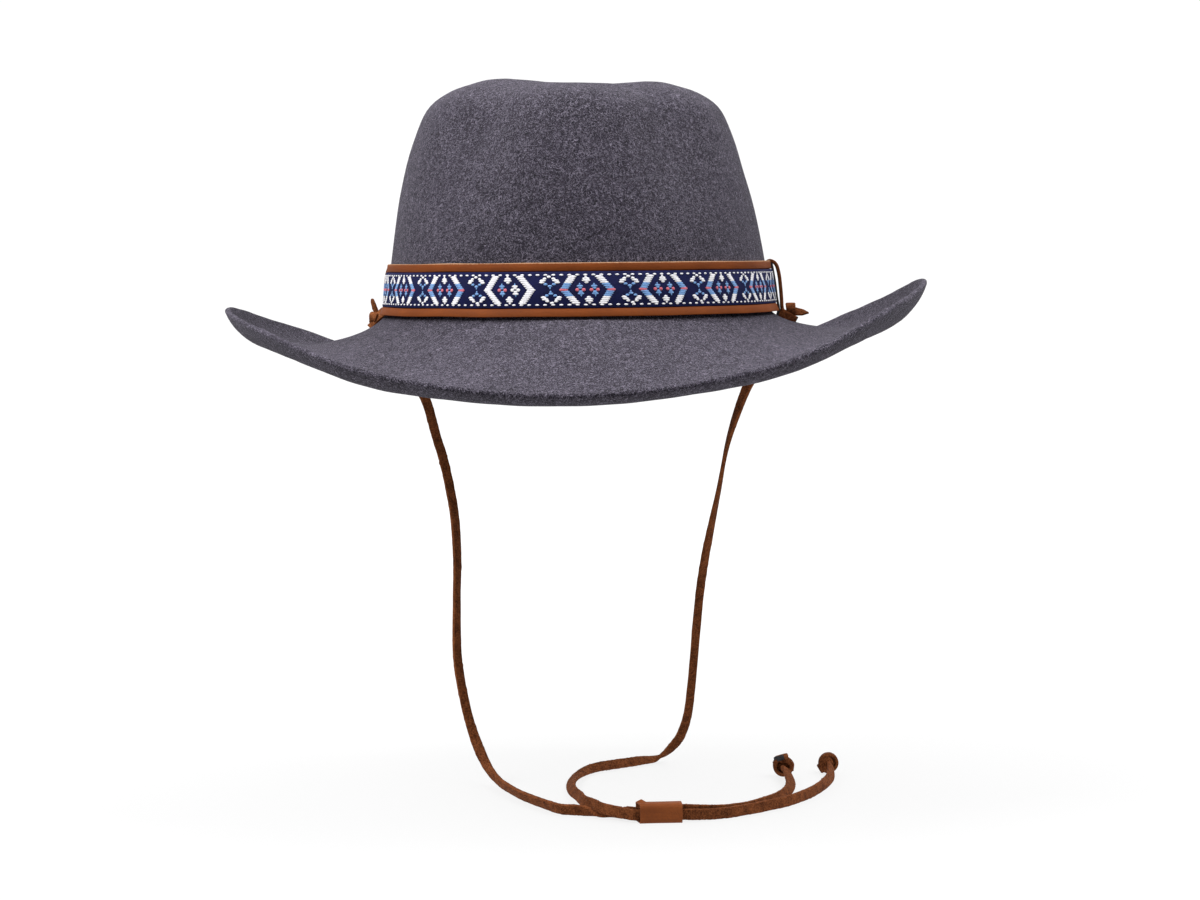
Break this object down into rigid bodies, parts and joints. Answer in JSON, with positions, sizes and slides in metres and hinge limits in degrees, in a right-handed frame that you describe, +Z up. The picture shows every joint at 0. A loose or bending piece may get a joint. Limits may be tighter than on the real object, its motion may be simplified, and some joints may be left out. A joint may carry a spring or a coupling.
{
  "type": "felt hat",
  "caption": "Wide-brimmed felt hat with a soft dented crown, raised brim sides, a leather band with a woven ribbon, and a flat leather chin lace with a slide.",
  "frame": {"origin": "centre of the head opening, level with the lower edge of the leather band", "axes": "+Z up along the crown, -Y towards the front of the hat, +X towards the right as seen from the front"},
  "size_m": [0.3064, 0.3427, 0.313],
  "materials": {
    "felt": "matt heathered wool felt",
    "band_leather": "smooth, slightly shiny leather with cut edges",
    "slide_leather": "smooth leather with a frayed corner",
    "ribbon": "woven, with raised coloured threads",
    "lace_leather": "matt suede lace"
  },
  "bodies": {
    "root": {"felt_body": "felt", "leather_band": "band_leather", "woven_ribbon": "ribbon", "lace_loop_right": "lace_leather", "lace_knot_right": "lace_leather", "chin_lace_right": "lace_leather", "lace_loop_left": "lace_leather", "lace_knot_left": "lace_leather", "chin_lace_left": "lace_leather", "cord_slide": "slide_leather", "end_knot_right": "lace_leather", "end_knot_left": "lace_leather"}
  },
  "joints": []
}
